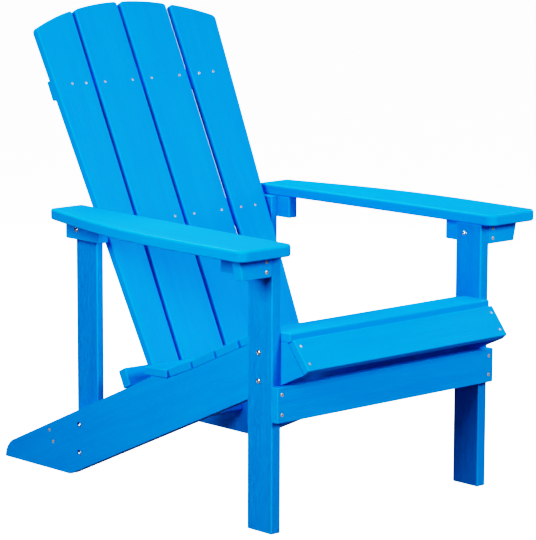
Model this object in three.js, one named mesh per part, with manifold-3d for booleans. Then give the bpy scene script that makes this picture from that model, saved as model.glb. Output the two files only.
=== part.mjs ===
// An Adirondack chair of plastic lumber boards, screwed and bolted into one rigid frame.
// Millimetres. +Z is up, +Y points to the back of the chair, +X to the left hand of someone sitting in it.
// Heights are above the floor, and depths are counted from the front faces of the front legs. The last step
// moves the whole chair along Y, so that the origin is on the floor below the middle of its bounding box.
import * as THREE from "three";
import { mergeVertices } from "three/addons/utils/BufferGeometryUtils.js";
import Module from "manifold-3d";

const wasm = await Module();
wasm.setup();

// Lumber: two board thicknesses, and the width that most boards are cut to.
const BOARD = 22;
const SLAT = 16;
const WIDTH = 65;
const FIT = 0.3; // clearance where a turned or drilled piece meets its neighbour
const ARC_STEPS = 8; // each round stretch of an outline is drawn with twice this many straight steps
const degrees = Math.PI / 180;

// Layers from the middle of the chair outwards: rear leg, stringer, front leg, arm block.
const SEAT_HALF = 258;
const STRINGER_INNER = SEAT_HALF - BOARD;
const REAR_LEG_INNER = STRINGER_INNER - SLAT;
const FRAME_HALF = SEAT_HALF + BOARD;

// Legs.
const LEG_HEIGHT = 510;
const REAR_LEG = { front: 545, back: 608, recess: 4 }; // the foot stops this far above the stringer's edge

// Stringers: long boards that rise from the floor behind to the front edge of the seat.
const SLOPE = 24.2 * degrees;
const STRINGER_WIDTH = 110;
const STRINGER_BASE = 272.4; // height of the lower edge where it passes the front of the legs
const SEAT_RECESS = 18; // the seat part is cut this much below the board's upper edge
const TAIL = { y: 767.5, z: -3, radius: 45 };

// Seat: five slats down the slope, then a level one over the front edge and a leaning apron below it.
const SLAT_PITCH = 71.9;
const FIRST_GAP = 44.8; // middle of the gap behind the front slat
const FRONT_SLAT = { front: -24, back: 38, top: 369, nose: 3 };
const REAR_SLAT = { front: 314, underside: 236.1, tilt: 2.4 * degrees };
const FOURTH_SLAT_TILT = 21.5 * degrees;
const APRON = { y: -32, z: 359.7, lean: 39 * degrees };
const CROSSBAR_BOTTOM = 207;

// Back: four slats on a shallow hollow curve, leaning back, with an arched top.
const BACK = { y: 471.1, z: 315, tilt: 26.28 * degrees, curve: 2430 };
const BACK_FOOT = -120;
const ARCH = { centre: 77, radius: 578, corner: 8 };
const INNER_SLAT = { near: 5, far: 117, flare: 0 };
const OUTER_SLAT = { near: 127.5, far: 202.5, flare: 0.0472 };
const UPPER_BATTEN = { low: 465, high: 505, half: 219 };
const MID_RAIL = { low: 170, high: 226 };
const LOWER_RAIL_TOP = -84.5;
const STRETCHER = { y: 665, z: 66, width: 44 };

// Arms and what carries them. The two long edges of an arm are Bezier curves, given as [across, depth].
const ARM = { thickness: 21.5, front: -31, outer: 382, inner: 254, back: 596, frontCorner: 18, backCorner: 7 };
const ARM_OUTER_CURVE = [
  [382, 110],
  [382, 300],
  [367, 390],
  [311, 588],
];
const ARM_INNER_CURVE = [
  [231.4, 589],
  [236, 500],
  [249, 300],
];
const FRONT_BLOCK = { front: 22, back: 114, height: 41 };
const REAR_BLOCK = { front: 510, back: 613, height: 43 };
const CORBEL = { height: 39, top: 359, bottom: 350 };

// Bolts: where each one crosses the side view, and the sizes of bolt and nut.
const BOLT = { radius: 3, head: 5.5, headHeight: 3.2, socket: 2.3, socketDepth: 1.8 };
const NUT = { radius: 5.7, height: 5 };
const BORE = BOLT.radius + FIT;
const COUNTERBORE = { radius: 6.2, depth: 3.6 };
const FRONT_BOLTS = { upper: [34, 330], lower: [34, 278] };
const REAR_BOLTS = { upper: [577, 102.6], lower: [577, 46.6] };
const FRONT_BLOCK_BOLT = [42.8, 489];
const REAR_BLOCK_BOLT = [579, 486.6];
const RAIL_SCREW_DEPTH = 34;

function lumber() {
  return new THREE.MeshStandardMaterial({ color: 0x0590da, roughness: 0.45, metalness: 0 });
}

function stainless() {
  return new THREE.MeshStandardMaterial({ color: 0xc3c6c9, roughness: 0.3, metalness: 1 });
}

function boardMesh(name, geometry) {
  const mesh = new THREE.Mesh(geometry, lumber());
  mesh.name = name;
  return mesh;
}

// A closed geometry as a solid that can be cut.
function solidOf(geometry) {
  const bare = geometry.clone();
  bare.deleteAttribute("normal");
  bare.deleteAttribute("uv");
  const merged = mergeVertices(bare);
  const vertProperties = new Float32Array(merged.attributes.position.array);
  const triVerts = new Uint32Array(merged.index.array);
  return new wasm.Manifold(new wasm.Mesh({ numProp: 3, vertProperties, triVerts }));
}

// The geometry with every tool geometry cut out of it.
function cut(geometry, tools) {
  const solid = tools.reduce((rest, tool) => rest.subtract(solidOf(tool)), solidOf(geometry));
  const mesh = solid.getMesh();
  const result = new THREE.BufferGeometry();
  result.setAttribute("position", new THREE.BufferAttribute(mesh.vertProperties, 3));
  result.setIndex(new THREE.BufferAttribute(mesh.triVerts, 1));
  result.computeVertexNormals();
  return result;
}

function extrude(outline, depth) {
  return new THREE.ExtrudeGeometry(outline, { depth, bevelEnabled: false, curveSegments: ARC_STEPS });
}

function polygon(points) {
  return new THREE.Shape(points.map(([u, v]) => new THREE.Vector2(u, v)));
}

function rectangle(low, high) {
  return polygon([low, [high[0], low[1]], high, [low[0], high[1]]]);
}

function drill(outline, centres) {
  for (const [u, v] of centres) {
    outline.holes.push(new THREE.Path().absarc(u, v, BORE, 0, 2 * Math.PI, true));
  }
  return outline;
}

// A group whose own axes are the depth, the height and the width of the chair, in that order, so that
// outlines of the side view can be extruded across the chair.
function sideView() {
  const group = new THREE.Group();
  group.quaternion.set(0.5, 0.5, 0.5, 0.5);
  return group;
}

// A board seen in the side view, from its inner face out.
function sideBoard(name, outline, inner, thickness) {
  const mesh = boardMesh(name, extrude(outline, thickness));
  mesh.position.z = inner;
  return mesh;
}

// A plain board across the chair. y and z are the middle of its section.
function crossBoard(name, half, depth, height, y, z, turn) {
  const mesh = boardMesh(name, new THREE.BoxGeometry(2 * half, depth, height));
  mesh.position.set(0, y, z);
  mesh.rotation.x = turn;
  return mesh;
}

function frontLeg(side) {
  const outline = rectangle([0, 0], [WIDTH, LEG_HEIGHT]);
  drill(outline, [FRONT_BOLTS.upper, FRONT_BOLTS.lower, FRONT_BLOCK_BOLT]);
  return sideBoard("front_leg_" + side, outline, SEAT_HALF, BOARD);
}

// The rear leg's foot is cut along the stringer's lower edge, and the stringer stands on the floor for it.
function rearLeg(side) {
  const { front, back: rear, recess } = REAR_LEG;
  const outline = polygon([
    [front, stringerBottom(front) + recess],
    [rear, stringerBottom(rear) + recess],
    [rear, LEG_HEIGHT],
    [front, LEG_HEIGHT],
  ]);
  drill(outline, [REAR_BOLTS.upper, REAR_BOLTS.lower, REAR_BLOCK_BOLT]);
  return sideBoard("rear_leg_" + side, outline, REAR_LEG_INNER, SLAT);
}

const stringerBottom = (y) => STRINGER_BASE - y * Math.tan(SLOPE);
const stringerTop = (y) => stringerBottom(y) + STRINGER_WIDTH / Math.cos(SLOPE);
const seatLine = (y) => stringerTop(y) - SEAT_RECESS / Math.cos(SLOPE);
const rearLedge = (y) => REAR_SLAT.underside - FIT - (y - REAR_SLAT.front) * Math.tan(REAR_SLAT.tilt);

// Depth at which the stringer's upper edge meets the ledge of the last slat.
function ledgeEnd() {
  const ledgeSlope = Math.tan(REAR_SLAT.tilt);
  return (stringerTop(0) - rearLedge(0)) / (Math.tan(SLOPE) - ledgeSlope);
}

// A point on the apron's rear face, at a given height.
function apronRear(z) {
  const rearY = APRON.y + (SLAT + FIT) * Math.cos(APRON.lean);
  const rearZ = APRON.z - (SLAT + FIT) * Math.sin(APRON.lean);
  return [rearY + (z - rearZ) * Math.tan(APRON.lean), z];
}

// Lower front corner: where the lower edge meets the plane of the apron's rear face.
function stringerToe() {
  const [y, z] = apronRear(0);
  const height = (STRINGER_BASE - y * Math.tan(SLOPE) - z) / (1 + Math.tan(APRON.lean) * Math.tan(SLOPE));
  return apronRear(height);
}

function stringerOutline() {
  const frontLedge = FRONT_SLAT.top - SLAT - FIT;
  const gap = (index) => FIRST_GAP + index * SLAT_PITCH * Math.cos(SLOPE);
  const ledgeFront = REAR_SLAT.front - 2;
  const outline = new THREE.Shape();
  outline.moveTo(STRINGER_BASE / Math.tan(SLOPE), 0);
  outline.lineTo(TAIL.y + Math.sqrt(TAIL.radius ** 2 - TAIL.z ** 2), 0);
  outline.absarc(TAIL.y, TAIL.z, TAIL.radius, Math.asin(-TAIL.z / TAIL.radius), Math.PI / 2 - SLOPE);
  outline.lineTo(ledgeEnd(), stringerTop(ledgeEnd()));
  outline.lineTo(ledgeFront, rearLedge(ledgeFront));
  outline.lineTo(gap(4), seatLine(gap(3)) - (gap(4) - gap(3)) * Math.tan(FOURTH_SLAT_TILT) - FIT);
  outline.lineTo(gap(3), seatLine(gap(3)));
  outline.lineTo((seatLine(0) - frontLedge) / Math.tan(SLOPE), frontLedge);
  outline.lineTo(...apronRear(frontLedge));
  outline.lineTo(...stringerToe());
  return drill(outline, [...Object.values(FRONT_BOLTS), ...Object.values(REAR_BOLTS)]);
}

// The rear bolts' heads sit in counterbores in the stringer's outer face.
function counterbore([y, z]) {
  const tool = new THREE.CylinderGeometry(COUNTERBORE.radius, COUNTERBORE.radius, 2 * COUNTERBORE.depth, 24);
  return tool.rotateX(Math.PI / 2).translate(y, z, BOARD);
}

function stringer(side) {
  const pockets = Object.values(REAR_BOLTS).map(counterbore);
  const mesh = boardMesh("stringer_" + side, cut(extrude(stringerOutline(), BOARD), pockets));
  mesh.position.z = STRINGER_INNER;
  return mesh;
}

function frontArmBlock(side) {
  const outline = rectangle([FRONT_BLOCK.front, LEG_HEIGHT - FRONT_BLOCK.height], [FRONT_BLOCK.back, LEG_HEIGHT]);
  drill(outline, [FRONT_BLOCK_BOLT]);
  return sideBoard("front_arm_block_" + side, outline, FRAME_HALF, BOARD);
}

function rearArmBlock(side) {
  const outline = rectangle([REAR_BLOCK.front, LEG_HEIGHT - REAR_BLOCK.height], [REAR_BLOCK.back, LEG_HEIGHT]);
  drill(outline, [REAR_BLOCK_BOLT]);
  return sideBoard("rear_arm_block_" + side, outline, STRINGER_INNER, BOARD);
}

// The bracket across the front of the arm block, with a slanted outer end.
function corbel(side) {
  const bottom = LEG_HEIGHT - CORBEL.height;
  const outline = polygon([
    [FRAME_HALF, bottom],
    [CORBEL.bottom, bottom],
    [CORBEL.top, LEG_HEIGHT],
    [FRAME_HALF, LEG_HEIGHT],
  ]);
  const mesh = boardMesh("front_corbel_" + side, extrude(outline, BOARD));
  mesh.rotation.x = Math.PI / 2;
  mesh.position.y = FRONT_BLOCK.front;
  return mesh;
}

// The arm seen from above: broad at the hand, narrowing along a curve towards the back.
function armOutline() {
  const { front, outer, inner, back: rear, frontCorner, backCorner } = ARM;
  const outerEnd = ARM_OUTER_CURVE.at(-1);
  const innerStart = ARM_INNER_CURVE[0];
  const outline = new THREE.Shape();
  outline.moveTo(inner + frontCorner, front);
  outline.lineTo(outer - frontCorner, front);
  outline.absarc(outer - frontCorner, front + frontCorner, frontCorner, -Math.PI / 2, 0);
  outline.lineTo(...ARM_OUTER_CURVE[0]);
  outline.bezierCurveTo(...ARM_OUTER_CURVE.slice(1).flat());
  outline.quadraticCurveTo(outerEnd[0] - 2, rear, outerEnd[0] - backCorner, rear);
  outline.lineTo(innerStart[0] + backCorner, rear);
  outline.quadraticCurveTo(innerStart[0], rear, ...innerStart);
  outline.bezierCurveTo(...ARM_INNER_CURVE.slice(1).flat(), inner, front + frontCorner);
  outline.absarc(inner + frontCorner, front + frontCorner, frontCorner, Math.PI, 1.5 * Math.PI);
  return outline;
}

function arm(side) {
  const mesh = boardMesh("arm_" + side, extrude(armOutline(), ARM.thickness));
  mesh.position.z = LEG_HEIGHT;
  return mesh;
}

// A button head with a hexagonal socket, and a plain shank. The shank starts at z = 0 and runs to +Z.
function boltGeometry(length) {
  const { radius, head, headHeight, socket, socketDepth } = BOLT;
  const profile = [
    [0, length],
    [radius, length],
    [radius, 0],
    [head, 0],
    [head, -0.35 * headHeight],
    [0.85 * head, -0.75 * headHeight],
    [0.6 * head, -headHeight],
    [0, -headHeight],
  ];
  const points = profile.map(([r, z]) => new THREE.Vector2(r, z)).reverse();
  const body = new THREE.LatheGeometry(points, 16).rotateX(Math.PI / 2);
  const tool = new THREE.CylinderGeometry(socket, socket, 2 * socketDepth, 6);
  return cut(body, [tool.rotateX(Math.PI / 2).translate(0, 0, -headHeight)]);
}

// A bolt across the chair. headX is the face that the head rests on, and the shank runs from there
// outwards (direction 1) or inwards (direction -1).
function bolt(name, [y, z], headX, length, direction) {
  const mesh = new THREE.Mesh(boltGeometry(length), stainless());
  mesh.name = name;
  mesh.position.set(headX, y, z);
  mesh.rotation.y = (direction * Math.PI) / 2;
  return mesh;
}

function nut(name, [y, z], innerX) {
  const corners = [0, 1, 2, 3, 4, 5].map((i) => (i * Math.PI) / 3);
  const outline = polygon(corners.map((a) => [NUT.radius * Math.cos(a), NUT.radius * Math.sin(a)]));
  drill(outline, [[0, 0]]);
  const mesh = new THREE.Mesh(extrude(outline, NUT.height), stainless());
  mesh.name = name;
  mesh.position.set(innerX, y, z);
  mesh.rotation.y = Math.PI / 2;
  return mesh;
}

// A bolt through two boards with its nut, both named after the joint.
function boltAndNut(group, joint, place, headX, grip, direction) {
  const farFace = headX + direction * grip;
  group.add(bolt(joint.replace("#", "bolt"), place, headX, grip + NUT.height + 2, direction));
  group.add(nut(joint.replace("#", "nut"), place, direction > 0 ? farFace : farFace - NUT.height));
}

function sideFasteners(side) {
  const group = new THREE.Group();
  for (const [level, place] of Object.entries(FRONT_BOLTS)) {
    boltAndNut(group, `front_leg_#_${level}_${side}`, place, FRAME_HALF, 2 * BOARD, -1);
  }
  const pocketFloor = SEAT_HALF - COUNTERBORE.depth;
  for (const [level, place] of Object.entries(REAR_BOLTS)) {
    boltAndNut(group, `rear_leg_#_${level}_${side}`, place, pocketFloor, pocketFloor - REAR_LEG_INNER, -1);
  }
  boltAndNut(group, `front_block_#_${side}`, FRONT_BLOCK_BOLT, SEAT_HALF, 2 * BOARD, 1);
  const screwLength = BOARD + SLAT + RAIL_SCREW_DEPTH;
  group.add(bolt(`rear_block_bolt_${side}`, REAR_BLOCK_BOLT, SEAT_HALF, screwLength, -1));
  return group;
}

// Everything that one side of the chair has, drawn for the +X side.
function sideFrame(side) {
  const group = new THREE.Group();
  const profiles = sideView();
  profiles.add(frontLeg(side), rearLeg(side), stringer(side), frontArmBlock(side), rearArmBlock(side));
  group.add(profiles, corbel(side), arm(side), sideFasteners(side));
  return group;
}

// A seat slat whose front lower corner is at (y, z), sloping down to the back.
function slopedSlat(name, y, z, tilt) {
  const middleY = y + (WIDTH / 2) * Math.cos(tilt) + (SLAT / 2) * Math.sin(tilt);
  const middleZ = z - (WIDTH / 2) * Math.sin(tilt) + (SLAT / 2) * Math.cos(tilt);
  return crossBoard(name, SEAT_HALF, WIDTH, SLAT, middleY, middleZ, -tilt);
}

// Slats are numbered from the back. The last two lie flatter than the rest.
function seatSlats() {
  const group = new THREE.Group();
  const step = SLAT_PITCH * Math.cos(SLOPE);
  const halfGap = ((SLAT_PITCH - WIDTH) / 2) * Math.cos(SLOPE);
  const lift = FIT / Math.cos(SLOPE);
  for (const [index, number] of [5, 4, 3].entries()) {
    const y = FIRST_GAP + index * step + halfGap;
    group.add(slopedSlat("seat_slat_" + number, y, seatLine(y) + lift, SLOPE));
  }
  const gapY = FIRST_GAP + 3 * step;
  const fourthY = gapY + halfGap;
  const fourthZ = seatLine(gapY) - halfGap * Math.tan(FOURTH_SLAT_TILT) + FIT;
  group.add(slopedSlat("seat_slat_2", fourthY, fourthZ, FOURTH_SLAT_TILT));
  group.add(slopedSlat("seat_slat_1", REAR_SLAT.front, REAR_SLAT.underside, REAR_SLAT.tilt));
  return group;
}

// The level slat at the front, with its front edges rounded to a nose.
function frontSlat() {
  const { front, back, top, nose } = FRONT_SLAT;
  const outline = new THREE.Shape();
  outline.moveTo(front + nose, top - SLAT);
  outline.lineTo(back, top - SLAT);
  outline.lineTo(back, top);
  outline.lineTo(front + nose, top);
  outline.absarc(front + nose, top - nose, nose, Math.PI / 2, Math.PI);
  outline.absarc(front + nose, top - SLAT + nose, nose, Math.PI, 1.5 * Math.PI);
  return sideBoard("seat_slat_front", outline, -SEAT_HALF, 2 * SEAT_HALF);
}

function frontApron() {
  const { y, z, lean } = APRON;
  const middleY = y - (WIDTH / 2) * Math.sin(lean) + (SLAT / 2) * Math.cos(lean);
  const middleZ = z - (WIDTH / 2) * Math.cos(lean) - (SLAT / 2) * Math.sin(lean);
  return crossBoard("front_apron", SEAT_HALF, SLAT, WIDTH, middleY, middleZ, -lean);
}

function frontCrossbar() {
  return crossBoard("front_crossbar", FRAME_HALF, SLAT, WIDTH, -SLAT / 2, CROSSBAR_BOTTOM + WIDTH / 2, 0);
}

function rearStretcher() {
  const { y, z, width } = STRETCHER;
  return crossBoard("rear_stretcher", STRINGER_INNER, BOARD, width, y, z, -SLOPE);
}

// One back slat, in the leaning frame of the back: X across, Y rearwards from the front face in the
// middle of the back, Z up along the slats. side is 1 or -1.
function backSlat(name, { near, far, flare }, side) {
  const archAt = (x) => ARCH.centre + Math.sqrt(ARCH.radius ** 2 - x ** 2);
  const middle = (near + far) / 2;
  const footFar = far + flare * BACK_FOOT;
  const topFar = far + flare * archAt(far);
  const { corner } = ARCH;
  const steps = 6;
  const outline = new THREE.Shape();
  outline.moveTo(near - middle, BACK_FOOT);
  outline.lineTo(footFar - middle, BACK_FOOT);
  outline.lineTo(topFar - middle, archAt(topFar) - corner);
  outline.quadraticCurveTo(topFar - middle, archAt(topFar), topFar - corner - middle, archAt(topFar - corner));
  for (let i = 1; i < steps; i += 1) {
    const x = THREE.MathUtils.lerp(topFar - corner, near + corner, i / steps);
    outline.lineTo(x - middle, archAt(x));
  }
  outline.lineTo(near + corner - middle, archAt(near + corner));
  outline.quadraticCurveTo(near - middle, archAt(near), near - middle, archAt(near) - corner);
  const mesh = boardMesh(name, extrude(outline, SLAT));
  mesh.rotation.x = Math.PI / 2;
  mesh.position.y = SLAT;
  const turned = new THREE.Group();
  turned.add(mesh);
  turned.rotation.z = -middle / BACK.curve;
  turned.position.set(middle, -(middle ** 2) / (2 * BACK.curve), 0);
  const placed = new THREE.Group();
  placed.add(turned);
  placed.scale.x = side;
  return placed;
}

// How far behind the front face the slats' rear faces lie, where a rail meets them in the middle.
// The slats are flat, so the curve keeps clear of their edges.
function railSeat() {
  const halfSlat = (INNER_SLAT.far - INNER_SLAT.near) / 2;
  return SLAT + halfSlat ** 2 / (2 * BACK.curve) + FIT;
}

// A rail behind the slats: hollow front face, straight rear face, extruded up the back.
function rail(name, half, low, high, screws) {
  const middle = railSeat() - BACK.curve;
  const reach = Math.asin(half / BACK.curve);
  const endFront = middle + BACK.curve * Math.cos(reach);
  const outline = new THREE.Shape();
  outline.absarc(0, middle, BACK.curve, Math.PI / 2 + reach, Math.PI / 2 - reach, true);
  outline.lineTo(half, endFront + BOARD);
  outline.lineTo(-half, endFront + BOARD);
  const geometry = extrude(outline, high - low);
  const mesh = boardMesh(name, screws.length ? cut(geometry, screws) : geometry);
  mesh.position.z = low;
  return mesh;
}

// The upper batten follows the curve with both of its faces.
function upperBatten() {
  const { low, high, half } = UPPER_BATTEN;
  const middle = railSeat() - BACK.curve;
  const reach = Math.asin(half / BACK.curve);
  const outline = new THREE.Shape();
  outline.absarc(0, middle, BACK.curve, Math.PI / 2 + reach, Math.PI / 2 - reach, true);
  outline.absarc(0, middle, BACK.curve + SLAT, Math.PI / 2 - reach, Math.PI / 2 + reach, false);
  const mesh = boardMesh("upper_back_batten", extrude(outline, high - low));
  mesh.position.z = low;
  return mesh;
}

// Pilot holes in both ends of the mid rail for the bolts through the rear arm blocks.
function railPilotHoles() {
  const [y, z] = REAR_BLOCK_BOLT;
  const { tilt } = BACK;
  const depth = (y - BACK.y) * Math.cos(tilt) - (z - BACK.z) * Math.sin(tilt);
  const height = (y - BACK.y) * Math.sin(tilt) + (z - BACK.z) * Math.cos(tilt) - MID_RAIL.low;
  return [-1, 1].map((side) => {
    const hole = new THREE.CylinderGeometry(BORE, BORE, 2 * (RAIL_SCREW_DEPTH + FIT), 16);
    return hole.rotateZ(Math.PI / 2).translate(side * REAR_LEG_INNER, depth, height);
  });
}

// Lowest place for the lower rail, along the back, with its rear corner just above the stringers.
function lowerRailBottom() {
  const { tilt } = BACK;
  const rear = railSeat() - SEAT_HALF ** 2 / (2 * BACK.curve) + BOARD;
  const y = BACK.y + rear * Math.cos(tilt);
  const z = BACK.z - rear * Math.sin(tilt);
  const rise = Math.cos(tilt) + Math.sin(tilt) * Math.tan(SLOPE);
  return (stringerTop(y) + 2 * FIT - z) / rise;
}

function back() {
  const group = new THREE.Group();
  group.position.set(0, BACK.y, BACK.z);
  group.rotation.x = -BACK.tilt;
  group.add(backSlat("back_slat_1", OUTER_SLAT, -1));
  group.add(backSlat("back_slat_2", INNER_SLAT, -1));
  group.add(backSlat("back_slat_3", INNER_SLAT, 1));
  group.add(backSlat("back_slat_4", OUTER_SLAT, 1));
  group.add(rail("lower_back_rail", SEAT_HALF, lowerRailBottom(), LOWER_RAIL_TOP, []));
  group.add(rail("mid_back_rail", REAR_LEG_INNER - FIT, MID_RAIL.low, MID_RAIL.high, railPilotHoles()));
  group.add(upperBatten());
  return group;
}

function frontAndSeat() {
  const group = new THREE.Group();
  const profiles = sideView();
  profiles.add(frontSlat());
  group.add(profiles, frontCrossbar(), frontApron(), seatSlats(), rearStretcher());
  return group;
}

const leftSide = sideFrame("left");
const rightSide = sideFrame("right");
rightSide.scale.x = -1;

const frame = new THREE.Group();
frame.add(leftSide, rightSide, frontAndSeat(), back());
const bounds = new THREE.Box3().setFromObject(frame);
frame.position.y = -(bounds.min.y + bounds.max.y) / 2;

const chair = new THREE.Group();
chair.add(frame);
export default chair;
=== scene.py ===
"""Looks of an Adirondack chair of bright blue plastic lumber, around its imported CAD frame.

Every board is made from its CAD solid. Its edges are rounded, the wood screws get real countersunk holes, and
a board-space coordinate is stored on the mesh, so that the embossed grain always runs along the board.
Values that go through mm(), side_view() or on_back() are in millimetres, and so are the profiles and outlines
of the fasteners. All other lengths are in metres.
"""
import math

import bmesh
import bpy
from mathutils import Matrix, Vector
from mathutils.bvhtree import BVHTree


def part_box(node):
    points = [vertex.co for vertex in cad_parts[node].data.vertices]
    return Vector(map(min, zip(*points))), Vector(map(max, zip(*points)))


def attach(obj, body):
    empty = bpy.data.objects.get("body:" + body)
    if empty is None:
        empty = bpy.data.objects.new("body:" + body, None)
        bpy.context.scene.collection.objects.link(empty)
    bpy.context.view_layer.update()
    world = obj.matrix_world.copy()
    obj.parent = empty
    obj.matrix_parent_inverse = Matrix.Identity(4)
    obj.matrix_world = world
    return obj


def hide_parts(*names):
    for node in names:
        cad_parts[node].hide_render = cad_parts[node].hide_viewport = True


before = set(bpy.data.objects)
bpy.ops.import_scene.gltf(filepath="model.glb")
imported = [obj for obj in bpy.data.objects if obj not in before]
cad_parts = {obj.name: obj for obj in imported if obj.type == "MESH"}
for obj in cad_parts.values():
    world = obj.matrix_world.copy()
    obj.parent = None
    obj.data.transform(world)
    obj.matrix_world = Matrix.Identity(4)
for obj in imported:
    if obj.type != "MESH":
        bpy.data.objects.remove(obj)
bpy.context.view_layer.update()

X, Y, Z = Vector((1, 0, 0)), Vector((0, 1, 0)), Vector((0, 0, 1))


def mm(value):
    return value * 0.001


# ---------------------------------------------------------------- places taken from the frame

LEG_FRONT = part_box("front_leg_left")[0].y  # depth 0 of the side view: the front faces of the front legs
SLOPE = math.radians(24.2)
BACK_TILT = math.radians(26.28)
APRON_LEAN = math.radians(39)

UP_THE_BACK = Vector((0, math.sin(BACK_TILT), math.cos(BACK_TILT)))
THROUGH_THE_BACK = Vector((0, math.cos(BACK_TILT), -math.sin(BACK_TILT)))
DOWN_THE_SEAT = Vector((0, math.cos(SLOPE), -math.sin(SLOPE)))


def side_view(x, y, z):
    """A point given in millimetres: across, back from the front legs, and above the floor."""
    return Vector((mm(x), LEG_FRONT + mm(y), mm(z)))


BACK_ORIGIN = side_view(0, 471.1, 315)


def on_back(x, height):
    """A point on the plane of the back, x across and height along the slats, in millimetres."""
    return BACK_ORIGIN + X * mm(x) + UP_THE_BACK * mm(height)


# ---------------------------------------------------------------- camera, light and floor

CAMERA_PLACE = Vector((-3.7028, -4.0832, 1.3438))
CAMERA_AZIMUTH = math.radians(-42.584)
CAMERA_PITCH = math.radians(9.660)
CAMERA_ROLL = math.radians(0.179)
CAMERA_LENS = 192.67
SENSOR_WIDTH = 36


def make_camera():
    data = bpy.data.cameras.new("camera")
    data.lens = CAMERA_LENS
    data.sensor_width = SENSOR_WIDTH
    camera = bpy.data.objects.new("camera", data)
    bpy.context.scene.collection.objects.link(camera)
    level = math.cos(CAMERA_PITCH)
    backward = Vector(
        (math.sin(CAMERA_AZIMUTH) * level, -math.cos(CAMERA_AZIMUTH) * level, math.sin(CAMERA_PITCH))
    )
    right = Z.cross(backward).normalized()
    up = backward.cross(right)
    turned_right = right * math.cos(CAMERA_ROLL) + up * math.sin(CAMERA_ROLL)
    turned_up = backward.cross(turned_right)
    rotation = Matrix((turned_right, turned_up, backward)).transposed()
    camera.matrix_world = Matrix.Translation(CAMERA_PLACE) @ rotation.to_4x4()
    bpy.context.scene.camera = camera


# The camera's response is an S curve over the logarithm of the light. Deep shadows sink towards black and
# highlights roll off softly. White takes FULL_SCALE times as much light as the middle of the scale.
FULL_SCALE = 6.0
CONTRAST = 1.55
FILM_POINTS = (0.008, 0.016, 0.03, 0.05, 0.08, 0.12, 0.18, 0.26, 0.38, 0.55, 0.75)  # the lights it is set at


def film(light):
    exposure = (FULL_SCALE * light) ** CONTRAST
    return exposure / (1 + exposure)


def make_film():
    view = bpy.context.scene.view_settings
    view.view_transform = "Standard"
    view.use_curve_mapping = True
    mapping = view.curve_mapping
    curve = mapping.curves[3]
    for light in FILM_POINTS:
        curve.points.new(light, film(light))
    mapping.update()


STUDIO_CENTRE = Vector((0, -0.1, 0.4))

# Each light's name, azimuth and elevation in degrees, distance and diameter in metres, and strength.
STUDIO_LIGHTS = (
    ("left", -77, 22, 2.3, 1.0, 2.5),
    ("front", 7, 24, 2.4, 0.7, 2.04),
    ("right", 95, 14, 2.2, 1.2, 1.9),
    ("back", 172, 53, 2.2, 1.2, 3.25),
)


def make_softbox(name, azimuth, elevation, distance, size, strength):
    """A round soft light aimed at the chair. The azimuth is counted as the camera's is."""
    azimuth, elevation = math.radians(azimuth), math.radians(elevation)
    level = math.cos(elevation)
    towards = Vector((math.sin(azimuth) * level, -math.cos(azimuth) * level, math.sin(elevation)))
    data = bpy.data.lights.new(name, "AREA")
    data.shape = "DISK"
    data.size = size
    data.energy = strength * (math.pi * distance) ** 2 / FULL_SCALE
    light = bpy.data.objects.new(name, data)
    bpy.context.scene.collection.objects.link(light)
    light.location = STUDIO_CENTRE + towards * distance
    light.rotation_euler = towards.to_track_quat("Z", "Y").to_euler()


# What reaches the chair from the room, and from below in place of the light that a floor throws back. The one
# turns into the other between these two heights of the direction.
ROOM_GLOW = 0.08
FLOOR_GLOW = 0.40
GLOW_BELOW = -0.5
GLOW_LEVEL = 0.0

WHITE = (1.0, 1.0, 1.0, 1)
FLOOR_WIDTH = 80
FLOOR_GREY = (0.35, 0.35, 0.35, 1)
FLOOR_LIGHT = 5.7


def make_studio():
    world = bpy.data.worlds.new("studio")
    world.use_nodes = True
    tree = world.node_tree
    direction = tree.nodes.new("ShaderNodeTexCoord").outputs["Generated"]
    split = tree.nodes.new("ShaderNodeSeparateXYZ")
    blend = tree.nodes.new("ShaderNodeMapRange")
    blend.inputs["From Min"].default_value = GLOW_BELOW
    blend.inputs["From Max"].default_value = GLOW_LEVEL
    blend.inputs["To Min"].default_value = FLOOR_GLOW / FULL_SCALE
    blend.inputs["To Max"].default_value = ROOM_GLOW / FULL_SCALE
    tree.links.new(direction, split.inputs["Vector"])
    tree.links.new(split.outputs["Z"], blend.inputs["Value"])
    background = tree.nodes["Background"]
    background.inputs["Color"].default_value = WHITE
    tree.links.new(blend.outputs["Result"], background.inputs["Strength"])
    bpy.context.scene.world = world
    for light in STUDIO_LIGHTS:
        make_softbox(*light)


def make_floor():
    bpy.ops.mesh.primitive_plane_add(size=FLOOR_WIDTH, location=(0, 0, 0))
    floor = bpy.context.object
    floor.name = "floor"
    material = bpy.data.materials.new("floor")
    material.use_nodes = True
    shader = material.node_tree.nodes["Principled BSDF"]
    shader.inputs["Base Color"].default_value = FLOOR_GREY
    shader.inputs["Roughness"].default_value = 0.9
    shader.inputs["Specular IOR Level"].default_value = 0.0
    shader.inputs["Emission Color"].default_value = WHITE
    shader.inputs["Emission Strength"].default_value = FLOOR_LIGHT / FULL_SCALE
    floor.data.materials.append(material)
    floor.visible_diffuse = False
    floor.visible_glossy = False


# ---------------------------------------------------------------- materials


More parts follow.
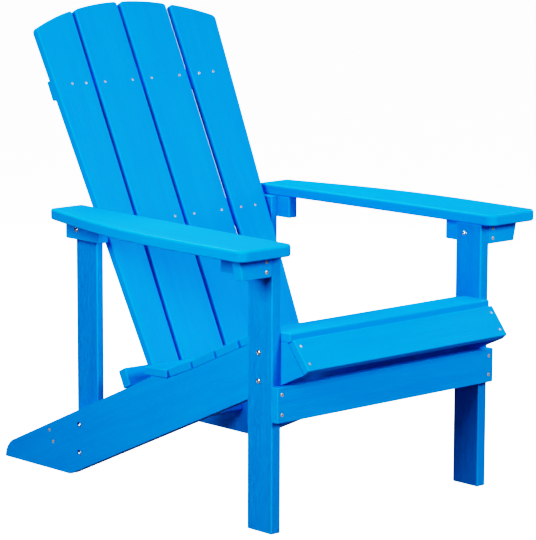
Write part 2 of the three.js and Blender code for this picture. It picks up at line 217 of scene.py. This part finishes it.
class Nodes:
    """A short way to write a node tree."""

    def __init__(self, material):
        material.use_nodes = True
        self.tree = material.node_tree
        self.shader = self.tree.nodes["Principled BSDF"]

    def add(self, kind, inputs=None, **settings):
        node = self.tree.nodes.new(kind)
        for key, value in settings.items():
            setattr(node, key, value)
        for key, value in (inputs or {}).items():
            if isinstance(value, bpy.types.NodeSocket):
                self.tree.links.new(value, node.inputs[key])
            else:
                node.inputs[key].default_value = value
        return node

    def math(self, operation, a, b=0.0):
        return self.add("ShaderNodeMath", {0: a, 1: b}, operation=operation).outputs[0]

    def blend(self, a, b, share_of_b):
        part_of_a = self.math("MULTIPLY", a, 1 - share_of_b)
        part_of_b = self.math("MULTIPLY", b, share_of_b)
        return self.math("ADD", part_of_a, part_of_b)

    def noise(self, vector, scale, detail=2.0, rough=0.5):
        inputs = {"Vector": vector, "Scale": scale, "Detail": detail, "Roughness": rough}
        return self.add("ShaderNodeTexNoise", inputs).outputs["Fac"]

    def stored(self, name, output="Fac"):
        inputs = {"attribute_name": name, "attribute_type": "GEOMETRY"}
        return self.add("ShaderNodeAttribute", **inputs).outputs[output]

    def stretched(self, vector, scale):
        inputs = {"Vector": vector, "Scale": scale}
        return self.add("ShaderNodeMapping", inputs, vector_type="POINT").outputs["Vector"]

    def spread(self, value, low, high, to_low=0.0, to_high=1.0):
        inputs = {"Value": value, "From Min": low, "From Max": high, "To Min": to_low, "To Max": to_high}
        return self.add("ShaderNodeMapRange", inputs, clamp=True).outputs["Result"]

    def mix(self, factor, a, b):
        node = self.add("ShaderNodeMix", data_type="RGBA", blend_type="MIX")
        for socket, value in (("Factor_Float", factor), ("A_Color", a), ("B_Color", b)):
            target = next(i for i in node.inputs if i.identifier == socket)
            if isinstance(value, bpy.types.NodeSocket):
                self.tree.links.new(value, target)
            else:
                target.default_value = value
        return next(o for o in node.outputs if o.identifier == "Result_Color")

    def connect(self, value, name):
        self.tree.links.new(value, self.shader.inputs[name])


# Blues of the lumber, from the bottom of a grain line to the painted highlight on a rounded edge.
GROOVE_BLUE = (0.0, 0.18, 0.75, 1)
DEEP_BLUE = (0.0, 0.222, 0.80, 1)
MAIN_BLUE = (0.0, 0.245, 0.82, 1)
# The paler blue is a painted highlight on the rounded edges.
EDGE_HIGHLIGHT_BLUE = (0.0, 0.32, 0.88, 1)
SHEEN_TINT = (0.25, 0.7, 1.0, 1)

# Waves per metre along a board, across it and through it.
WANDER_WAVES = (5, 22, 22)
BROAD_WAVES = (5, 190, 190)
FINE_WAVES = (14, 620, 620)
PORE_WAVES = (60, 1400, 1400)
SAW_WAVES = (900, 60, 900)
STREAK_WAVES = (3, 60, 60)
PEBBLE_WAVES = 1500.0
PATCH_WAVES = 9.0

BUMP_STRENGTH = 0.75
BUMP_DEPTH = 0.0005
SHEEN = 0.012
WANDER_WIDTH = 0.014
FINE_SHARE = 0.65  # the rest of a grain line is broad
STREAK_SHARE = 0.75  # the rest of the tone is patches
PORE_DEPTH = 0.35
PEBBLE_DEPTH = 0.15
SAW_DEPTH = 0.8
EDGE_WEAR = 0.55  # how much of the grain is worn off a rounded edge
# How much of the painted highlight's paler blue the rounded edges get.
EDGE_HIGHLIGHT_SHARE = 0.35
EDGE_POLISH = 0.05
GROOVE_TINT = 0.15
DEEP_GROOVE_TINT = 0.07  # more of the groove's blue with each unit of embossing


def lumber_material():
    """Satin plastic lumber: long embossed grain lines, a fine pebble, streaks of colour, and rubbed edges
    that carry a painted highlight.
    """
    material = bpy.data.materials.new("blue_lumber")
    n = Nodes(material)
    board = n.stored("board", "Vector")
    edge = n.stored("rounded")
    cut_end = n.stored("cut_end")
    emboss = n.stored("emboss")

    # A slow sideways wander keeps the grain lines from being dead straight.
    wander = n.noise(n.stretched(board, WANDER_WAVES), 1.0, 2.0)
    shift = n.math("MULTIPLY", n.math("SUBTRACT", wander, 0.5), WANDER_WIDTH)
    moved = n.add("ShaderNodeCombineXYZ", {"Y": shift, "Z": shift}).outputs["Vector"]
    grain = n.add("ShaderNodeVectorMath", {0: board, 1: moved}, operation="ADD").outputs["Vector"]

    broad = n.noise(n.stretched(grain, BROAD_WAVES), 1.0, 3.0, 0.6)
    fine = n.noise(n.stretched(grain, FINE_WAVES), 1.0, 3.0, 0.65)
    pores = n.noise(n.stretched(grain, PORE_WAVES), 1.0, 2.0)
    pebble = n.noise(board, PEBBLE_WAVES, 2.0)
    saw = n.noise(n.stretched(board, SAW_WAVES), 1.0, 2.0)

    line = n.blend(broad, fine, FINE_SHARE)
    groove = n.spread(line, 0.40, 0.60)
    pore = n.spread(pores, 0.30, 0.44)
    relief = n.math("ADD", groove, n.math("MULTIPLY", pore, PORE_DEPTH))
    relief = n.math("ADD", relief, n.math("MULTIPLY", pebble, PEBBLE_DEPTH))
    face_share = n.math("SUBTRACT", 1.0, n.math("MULTIPLY", edge, EDGE_WEAR))
    relief = n.math("MULTIPLY", relief, face_share)
    saw_relief = n.math("MULTIPLY", saw, n.math("MULTIPLY", cut_end, SAW_DEPTH))
    height = n.math("ADD", n.math("MULTIPLY", relief, n.math("SUBTRACT", 1.0, cut_end)), saw_relief)
    height = n.math("MULTIPLY", height, emboss)

    streak = n.noise(n.stretched(grain, STREAK_WAVES), 1.0, 4.0, 0.6)
    patch = n.noise(board, PATCH_WAVES, 3.0)
    tone = n.blend(patch, streak, STREAK_SHARE)
    colour = n.mix(n.spread(tone, 0.36, 0.64), DEEP_BLUE, MAIN_BLUE)
    groove_tint = n.math("ADD", GROOVE_TINT, n.math("MULTIPLY", emboss, DEEP_GROOVE_TINT))
    groove_tint = n.math("MULTIPLY", n.math("SUBTRACT", 1.0, groove), groove_tint)
    colour = n.mix(groove_tint, colour, GROOVE_BLUE)
    # Painted highlight: the rounded edges are painted a paler blue.
    colour = n.mix(n.math("MULTIPLY", edge, EDGE_HIGHLIGHT_SHARE), colour, EDGE_HIGHLIGHT_BLUE)
    n.connect(colour, "Base Color")

    rough = n.spread(line, 0.35, 0.65, 0.50, 0.38)
    n.connect(n.math("SUBTRACT", rough, n.math("MULTIPLY", edge, EDGE_POLISH)), "Roughness")
    bump = n.add("ShaderNodeBump", {"Height": height, "Strength": BUMP_STRENGTH, "Distance": BUMP_DEPTH})
    n.connect(bump.outputs["Normal"], "Normal")
    n.shader.inputs["Specular IOR Level"].default_value = SHEEN
    n.shader.inputs["Specular Tint"].default_value = SHEEN_TINT
    return material


WORN_STEEL = (0.60, 0.60, 0.61, 1)
BRIGHT_STEEL = (0.80, 0.80, 0.80, 1)
SCREW_STEEL = (0.52, 0.47, 0.44, 1)
SCREW_METAL_LOSS = 0.6
MACHINING_WAVES = (4000, 900, 900)
DULLING_WAVES = 300.0


def steel_material():
    """Stainless steel with fine machining marks and dulled patches: bright bolts, and duller wood screws."""
    material = bpy.data.materials.new("stainless")
    n = Nodes(material)
    place = n.stored("board", "Vector")
    dull = n.stored("dull")
    marks = n.noise(n.stretched(place, MACHINING_WAVES), 1.0, 2.0)
    dulling = n.noise(place, DULLING_WAVES, 3.0)
    bolt_colour = n.mix(n.spread(dulling, 0.35, 0.65), WORN_STEEL, BRIGHT_STEEL)
    n.connect(n.mix(dull, bolt_colour, SCREW_STEEL), "Base Color")
    n.connect(n.spread(dulling, 0.3, 0.7, 0.20, 0.36), "Roughness")
    bump = n.add("ShaderNodeBump", {"Height": marks, "Strength": 0.25, "Distance": 0.0001})
    n.connect(bump.outputs["Normal"], "Normal")
    n.connect(n.math("SUBTRACT", 1.0, n.math("MULTIPLY", dull, SCREW_METAL_LOSS)), "Metallic")
    return material


# ---------------------------------------------------------------- mesh helpers


def new_object(name, mesh):
    made = bpy.data.objects.new(name, mesh)
    bpy.context.scene.collection.objects.link(made)
    return made


def mesh_from(bm, name):
    bmesh.ops.recalc_face_normals(bm, faces=bm.faces)
    mesh = bpy.data.meshes.new(name)
    bm.to_mesh(mesh)
    bm.free()
    return mesh


def lathe(profile, segments=32):
    """A closed solid of revolution about Z. The profile is (radius, height) in millimetres, top to bottom,
    and its first and last points are on the axis."""
    bm = bmesh.new()
    rings = []
    for radius, height in profile:
        if radius == 0:
            rings.append([bm.verts.new((0, 0, mm(height)))])
            continue
        ring = []
        for i in range(segments):
            angle = 2 * math.pi * i / segments
            place = (mm(radius) * math.cos(angle), mm(radius) * math.sin(angle), mm(height))
            ring.append(bm.verts.new(place))
        rings.append(ring)
    for upper, lower in zip(rings, rings[1:]):
        for i in range(segments):
            j = (i + 1) % segments
            above = [upper[k % len(upper)] for k in (i, j)]
            below = [lower[k % len(lower)] for k in (j, i)]
            bm.faces.new(list(dict.fromkeys(above + below)))
    return bm


def prism(outline, low, high):
    """A closed prism along Z over an outline of (x, y) points. All in millimetres."""
    bm = bmesh.new()
    bottom = [bm.verts.new((mm(x), mm(y), mm(low))) for x, y in outline]
    top = [bm.verts.new((mm(x), mm(y), mm(high))) for x, y in outline]
    bm.faces.new(bottom)
    bm.faces.new(top)
    for i in range(len(outline)):
        j = (i + 1) % len(outline)
        bm.faces.new((bottom[i], bottom[j], top[j], top[i]))
    return bm


def carve(target, cutter, operation="DIFFERENCE"):
    """Cuts one object's mesh with another's, and removes the cutter."""
    modifier = target.modifiers.new("carve", "BOOLEAN")
    modifier.operation = operation
    modifier.solver = "EXACT"
    modifier.object = cutter
    graph = bpy.context.evaluated_depsgraph_get()
    carved = bpy.data.meshes.new_from_object(target.evaluated_get(graph))
    target.modifiers.clear()
    old = target.data
    target.data = carved
    bpy.data.meshes.remove(old)
    bpy.data.objects.remove(cutter)


def smooth_by_angle(piece, angle):
    for polygon in piece.data.polygons:
        polygon.use_smooth = True
    piece.data.set_sharp_from_angle(angle=math.radians(angle))
    weighted = piece.modifiers.new("weighted_normals", "WEIGHTED_NORMAL")
    weighted.keep_sharp = True


def store_places(mesh, places):
    """Stores on every vertex the place that the material reads its patterns at."""
    attribute = mesh.attributes.new("board", "FLOAT_VECTOR", "POINT")
    attribute.data.foreach_set("vector", [component for place in places for component in place])


def store_on_faces(mesh, name, values):
    mesh.attributes.new(name, "FLOAT", "FACE").data.foreach_set("value", values)


# ---------------------------------------------------------------- fasteners

# Radii of the head, the shank and the cross recess, how far the head is sunk, and how deep the point goes.
LARGE_SCREW = {"head": 3.7, "sink": 0.35, "shank": 2.0, "length": 13, "recess": 2.2}
SMALL_SCREW = {"head": 2.8, "sink": 0.3, "shank": 1.7, "length": 12, "recess": 1.7}

HEAD_DOME = 0.35
CONE_START = 0.75  # below the top of the head
CONE_STEEPNESS = 0.9
THREAD_PITCH = 1.2
THREAD_ROOT = 0.72  # of the shank's radius
POINT_LENGTH = 1.5
RECESS_HALF_WIDTH = 0.42
RECESS_DEPTH = 1.7


def cross_outline(reach, half_width):
    """The outline of a cross recess, counted round from the +X arm."""
    points = []
    for quarter in range(4):
        c, s = math.cos(quarter * math.pi / 2), math.sin(quarter * math.pi / 2)
        for x, y in ((reach, -half_width), (reach, half_width), (half_width, half_width)):
            points.append((x * c - y * s, x * s + y * c))
    return points


def screw_mesh(size, name):
    """A countersunk wood screw with a slightly domed head and a cross recess. Z = 0 is the board's face."""
    head, sink, shank, length = size["head"], size["sink"], size["shank"], size["length"]
    top = HEAD_DOME - sink
    profile = [(0, top), (0.55 * head, top - 0.06), (0.9 * head, top - 0.28), (head, top - 0.5)]
    depth = top - CONE_START - (head - shank) * CONE_STEEPNESS
    profile += [(head, top - CONE_START), (shank, depth)]
    while depth - THREAD_PITCH > -length + POINT_LENGTH:
        profile += [(shank, depth - 0.7), (shank * THREAD_ROOT, depth - 0.95), (shank, depth - THREAD_PITCH)]
        depth -= THREAD_PITCH
    profile += [(shank * 0.5, -length + 0.6), (0, -length)]
    screw = new_object(name, mesh_from(lathe(profile, 40), name))
    recess = prism(cross_outline(size["recess"], RECESS_HALF_WIDTH), -RECESS_DEPTH, 1.0)
    carve(screw, new_object("recess", mesh_from(recess, "recess")))
    store_places(screw.data, [v.co for v in screw.data.vertices])
    store_on_faces(screw.data, "dull", [1.0] * len(screw.data.polygons))
    smooth_by_angle(screw, 30)
    mesh = screw.data
    bpy.data.objects.remove(screw)
    return mesh


def screw_hole(size):
    """The countersunk hole that a screw sits in, as a cutter."""
    head, sink, shank, length = size["head"], size["sink"], size["shank"], size["length"]
    rim = head + 0.45
    floor = -sink - 0.55
    bore = shank + 0.3
    end = -length - 0.3
    profile = [(0, 0.8), (rim + 0.4, 0.8), (rim + 0.4, 0.02), (rim, -0.35), (rim, floor)]
    profile += [(bore, floor - (head - shank) * 0.95), (bore, end), (0, end)]
    return lathe(profile, 28)


SCREW_SPIN = 67  # degrees that each screw's recess is turned on from the last one's


class ScrewHoles:
    """The wood screws, sorted by the board that each one's head sits in."""

    def __init__(self):
        self.by_board = {}
        self.count = {}

    def add(self, board, start, direction, size, name):
        """A screw where a ray from start first meets the board."""
        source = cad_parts[board].data
        corners = [v.co for v in source.vertices]
        tree = BVHTree.FromPolygons(corners, [list(p.vertices) for p in source.polygons])
        place, normal, _, _ = tree.ray_cast(start, direction)
        number = self.count.get(name, 0) + 1
        self.count[name] = number
        spin = Matrix.Rotation(math.radians(SCREW_SPIN * number), 4, "Z")
        turn = normal.to_track_quat("Z", "Y").to_matrix().to_4x4()
        matrix = Matrix.Translation(place) @ turn @ spin
        self.by_board.setdefault(board, []).append((matrix, size, f"{name}_{number}"))


# Where the screws' rays start: in front of the chair, outside it, below the arms, and off a leaning board.
IN_FRONT = -80
OUTSIDE = 330
BELOW_THE_ARMS = 400
OFF_THE_BOARD = 0.08

CROSSBAR_SCREW_X = 269
CROSSBAR_SCREW_HEIGHTS = (258.5, 221.7)
CORBEL_SCREW_X = 292.5
CORBEL_SCREW_HEIGHTS = (500, 481)
STRETCHER_SCREWS = ((670.8, 77.1), (659, 55.5))
FRONT_BLOCK_SCREW_X = 291
FRONT_BLOCK_SCREW_DEPTHS = (36, 96)
REAR_BLOCK_SCREW_X = 247
REAR_BLOCK_SCREW_DEPTHS = (532, 592)
RAIL_SCREW_X = 247
RAIL_SCREW_DEPTH = 13
APRON_SCREW_X = 247
APRON_SCREW_OFFSETS = (18.5, -18.5)
INNER_SLAT_SCREW_X = (24.8, 96.8)
OUTER_SLAT_SCREW_X = (147, 183)
BACK_SCREW_ROWS = ((488, "upper"), (198, "middle"), (-103, "lower"))


def plan_screws():
    """Every wood screw of the chair."""
    holes = ScrewHoles()
    for side, name in ((1, "left"), (-1, "right")):
        for height in CROSSBAR_SCREW_HEIGHTS:
            place = side_view(side * CROSSBAR_SCREW_X, IN_FRONT, height)
            holes.add("front_crossbar", place, Y, LARGE_SCREW, "crossbar_screw")
        for height in CORBEL_SCREW_HEIGHTS:
            place = side_view(side * CORBEL_SCREW_X, IN_FRONT, height)
            holes.add("front_corbel_" + name, place, Y, LARGE_SCREW, "corbel_screw")
        for y, z in STRETCHER_SCREWS:
            place = side_view(side * OUTSIDE, y, z)
            holes.add("stringer_" + name, place, -side * X, LARGE_SCREW, "stretcher_screw")
        for y in FRONT_BLOCK_SCREW_DEPTHS:
            place = side_view(side * FRONT_BLOCK_SCREW_X, y, BELOW_THE_ARMS)
            holes.add("front_arm_block_" + name, place, Z, SMALL_SCREW, "arm_screw")
        for y in REAR_BLOCK_SCREW_DEPTHS:
            place = side_view(side * REAR_BLOCK_SCREW_X, y, BELOW_THE_ARMS)
            holes.add("rear_arm_block_" + name, place, Z, SMALL_SCREW, "arm_screw")
        place = on_back(side * RAIL_SCREW_X, 0) + THROUGH_THE_BACK * mm(RAIL_SCREW_DEPTH)
        holes.add("lower_back_rail", place, -UP_THE_BACK, SMALL_SCREW, "rail_screw")
    low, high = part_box("front_apron")
    along_apron = Vector((0, math.sin(APRON_LEAN), math.cos(APRON_LEAN)))
    into_apron = Vector((0, math.cos(APRON_LEAN), -math.sin(APRON_LEAN)))
    middle = (low + high) / 2
    for side in (1, -1):
        for offset in APRON_SCREW_OFFSETS:
            on_apron = Vector((side * mm(APRON_SCREW_X), middle.y, middle.z)) + along_apron * mm(offset)
            start = on_apron - into_apron * OFF_THE_BOARD
            holes.add("front_apron", start, into_apron, SMALL_SCREW, "apron_screw")
    for height, row in BACK_SCREW_ROWS:
        for side, boards in ((1, ("back_slat_3", "back_slat_4")), (-1, ("back_slat_2", "back_slat_1"))):
            for board, places in zip(boards, (INNER_SLAT_SCREW_X, OUTER_SLAT_SCREW_X)):
                for x in places:
                    start = on_back(side * x, height) - THROUGH_THE_BACK * OFF_THE_BOARD
                    holes.add(board, start, THROUGH_THE_BACK, SMALL_SCREW, f"back_{row}_screw")
    return holes


def place_screws(holes, meshes, material):
    for board, screws in holes.by_board.items():
        for matrix, size, name in screws:
            mesh = meshes[size["head"]]
            piece = new_object(name, mesh)
            piece.matrix_world = matrix
            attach(piece, "root")
    for mesh in meshes.values():
        mesh.materials.append(material)


def hexagon(radius):
    return [(radius * math.cos(i * math.pi / 3), radius * math.sin(i * math.pi / 3)) for i in range(6)]


BOLT_HEAD = 3.2
BUTTON_HEAD = (
    (0, BOLT_HEAD),
    (2.4, BOLT_HEAD),
    (4.0, 2.75),
    (5.0, 1.9),
    (5.45, 0.9),
    (5.5, 0.25),
    (5.3, 0),
)
BOLT_SHANK = 2.95
BOLT_THREAD_ROOT = 2.55
BOLT_THREAD_LENGTH = 20
BOLT_THREAD_PITCH = 1.0
BOLT_TIP = 1.6
SOCKET = 2.31
SOCKET_FLOOR = 1.2
NUT = 5.7


def side_on(place_x, box, direction):
    """The placing of a fastener on a box's axis along X, with the fastener's own Z towards the direction."""
    low, high = box
    place = Vector((place_x, (low.y + high.y) / 2, (low.z + high.z) / 2))
    return Matrix.Translation(place) @ direction.to_track_quat("Z", "Y").to_matrix().to_4x4()


def bolt_piece(node, head_outwards):
    """A button head bolt in place of its CAD solid, with a socket and a rolled thread on its last stretch."""
    low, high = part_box(node)
    length = (high.x - low.x) * 1000 - BOLT_HEAD
    side = 1 if low.x > 0 else -1
    direction = side if head_outwards else -side
    depth = -length + BOLT_THREAD_LENGTH
    profile = [*BUTTON_HEAD, (BOLT_SHANK, 0), (BOLT_SHANK, depth)]
    while depth > -length + BOLT_TIP:
        profile.append((BOLT_THREAD_ROOT, depth - BOLT_THREAD_PITCH / 2))
        depth -= BOLT_THREAD_PITCH
        profile.append((BOLT_SHANK, depth))
    profile += [(2.4, -length), (0, -length)]
    piece = new_object(node + "_detail", mesh_from(lathe(profile, 40), node + "_detail"))
    carve(piece, new_object("socket", mesh_from(prism(hexagon(SOCKET), SOCKET_FLOOR, 5.0), "socket")))
    store_places(piece.data, [v.co for v in piece.data.vertices])
    smooth_by_angle(piece, 32)
    under_head = (high.x if direction > 0 else low.x) - direction * mm(BOLT_HEAD)
    piece.matrix_world = side_on(under_head, (low, high), direction * X)
    return piece


def nut_piece(node):
    """A chamfered hexagon nut in place of its CAD solid."""
    low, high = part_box(node)
    height = (high.x - low.x) * 1000
    piece = new_object(node + "_detail", mesh_from(prism(hexagon(NUT), 0, height), node + "_detail"))
    crown = [(0, height), (4.7, height), (5.8, height - 0.65), (5.8, 0.65), (4.7, 0), (0, 0)]
    carve(piece, new_object("crown", mesh_from(lathe(crown, 48), "crown")), "INTERSECT")
    thread = [(0, height + 1), (4.0, height + 1), (3.2, height - 0.3), (3.2, 0.3), (4.0, -1), (0, -1)]
    carve(piece, new_object("thread", mesh_from(lathe(thread, 32), "thread")))
    store_places(piece.data, [v.co for v in piece.data.vertices])
    smooth_by_angle(piece, 30)
    piece.matrix_world = side_on(low.x, (low, high), X)
    return piece


def make_bolts(material):
    for node in sorted(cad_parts):
        if "_bolt" not in node and "_nut" not in node:
            continue
        if "_nut" in node:
            piece = nut_piece(node)
        else:
            piece = bolt_piece(node, head_outwards="front_block" not in node)
        piece.data.materials.append(material)
        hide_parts(node)
        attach(piece, "root")


# ---------------------------------------------------------------- boards


def bolt_axes():
    """Where every bolt crosses the side view, as (y, z)."""
    places = []
    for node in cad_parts:
        if "_bolt" in node:
            low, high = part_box(node)
            places.append(((low.y + high.y) / 2, (low.z + high.z) / 2))
    return places


BOLT_AXES = bolt_axes()
HOLE_REACH = mm(7.5)  # the rims of the bolt holes lie within this
SHARP = math.radians(30)  # an edge that turns by more is rounded
NEARLY_FLAT = math.radians(0.5)


def near_bolt(point):
    return any(math.hypot(point.y - y, point.z - z) < HOLE_REACH for y, z in BOLT_AXES)


def rounded_board(node, radius):
    """The CAD solid's mesh with merged corners, its flat faces joined, and its outer edges rounded."""
    bm = bmesh.new()
    bm.from_mesh(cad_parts[node].data)
    bmesh.ops.remove_doubles(bm, verts=bm.verts, dist=1e-6)
    bmesh.ops.dissolve_limit(bm, angle_limit=NEARLY_FLAT, verts=bm.verts, edges=bm.edges)
    bm.normal_update()
    edges = [
        e
        for e in bm.edges
        if len(e.link_faces) == 2
        and e.calc_face_angle() > SHARP
        and not (near_bolt(e.verts[0].co) and near_bolt(e.verts[1].co))
    ]
    bmesh.ops.bevel(
        bm, geom=edges, offset=mm(radius), segments=4, profile=0.5, affect="EDGES", clamp_overlap=True
    )
    return mesh_from(bm, node + "_board")


LEG_EMBOSS = 2.7
BOARD_EMBOSS = 0.65


def emboss_depth(node):
    """The legs are rolled with a deeper grain than the other boards."""
    return LEG_EMBOSS if "_leg_" in node else BOARD_EMBOSS


SAME_FACE = 0.998  # least cosine between a flat face and its face on the CAD solid
SAWN_END = 0.9  # least cosine between a sawn end and the grain
PATTERN_STEP = Vector((0.37, 0.91, 0.53))  # from one board's pattern to the next one's


def label_board(mesh, node, along, seed):
    """Stores the board's own coordinates and its grain depth, and marks its rounded edges and sawn ends."""
    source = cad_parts[node].data
    low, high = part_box(node)
    middle = (low + high) / 2
    across = along.cross(X if abs(along.x) < 0.5 else Z).normalized()
    through = along.cross(across)
    offset = PATTERN_STEP * seed
    places = []
    for v in mesh.vertices:
        local = v.co - middle
        places.append(Vector((local.dot(along), local.dot(across), local.dot(through))) + offset)
    store_places(mesh, places)
    flats = {tuple(round(c, 4) for c in p.normal) for p in source.polygons}
    flats = [Vector(f) for f in flats]
    rounded = [0.0 if any(p.normal.dot(f) > SAME_FACE for f in flats) else 1.0 for p in mesh.polygons]
    cut_end = [1.0 if abs(p.normal.dot(along)) > SAWN_END else 0.0 for p in mesh.polygons]
    store_on_faces(mesh, "rounded", rounded)
    store_on_faces(mesh, "cut_end", cut_end)
    store_on_faces(mesh, "emboss", [emboss_depth(node)] * len(mesh.polygons))


def cut_screw_holes(piece, screws):
    joined = bmesh.new()
    for matrix, size, _ in screws:
        cutter = screw_hole(size)
        cutter.transform(matrix)
        part = bpy.data.meshes.new("part")
        cutter.to_mesh(part)
        cutter.free()
        joined.from_mesh(part)
        bpy.data.meshes.remove(part)
    carve(piece, new_object("holes", mesh_from(joined, "holes")))


def grain_direction(node):
    if node.startswith(("front_leg", "rear_leg")):
        return Z
    if node.startswith(("arm_", "front_arm_block", "rear_arm_block")):
        return Y
    if node.startswith("stringer"):
        return DOWN_THE_SEAT
    if node.startswith("back_slat"):
        return UP_THE_BACK
    return X


def edge_radius(node):
    if node.startswith("arm_"):
        return 4.5
    if node.startswith(("stringer", "front_crossbar", "seat_slat_front")):
        return 1.4
    if node.startswith(("back_slat", "front_apron")):
        return 2.1
    return 2.4


def make_boards(holes, material):
    boards = [n for n in sorted(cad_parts) if "_bolt" not in n and "_nut" not in n]
    for seed, node in enumerate(boards):
        piece = new_object(node + "_board", rounded_board(node, edge_radius(node)))
        if node in holes.by_board:
            cut_screw_holes(piece, holes.by_board[node])
        label_board(piece.data, node, grain_direction(node), seed + 1)
        piece.data.materials.clear()
        piece.data.materials.append(material)
        smooth_by_angle(piece, 32)
        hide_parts(node)
        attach(piece, "root")


# ---------------------------------------------------------------- the scene

make_camera()
make_film()
make_studio()
make_floor()
lumber = lumber_material()
steel = steel_material()
screw_holes = plan_screws()
make_boards(screw_holes, lumber)
make_bolts(steel)
screw_meshes = {
    size["head"]: screw_mesh(size, name)
    for size, name in ((LARGE_SCREW, "large_screw"), (SMALL_SCREW, "small_screw"))
}
place_screws(screw_holes, screw_meshes, steel)
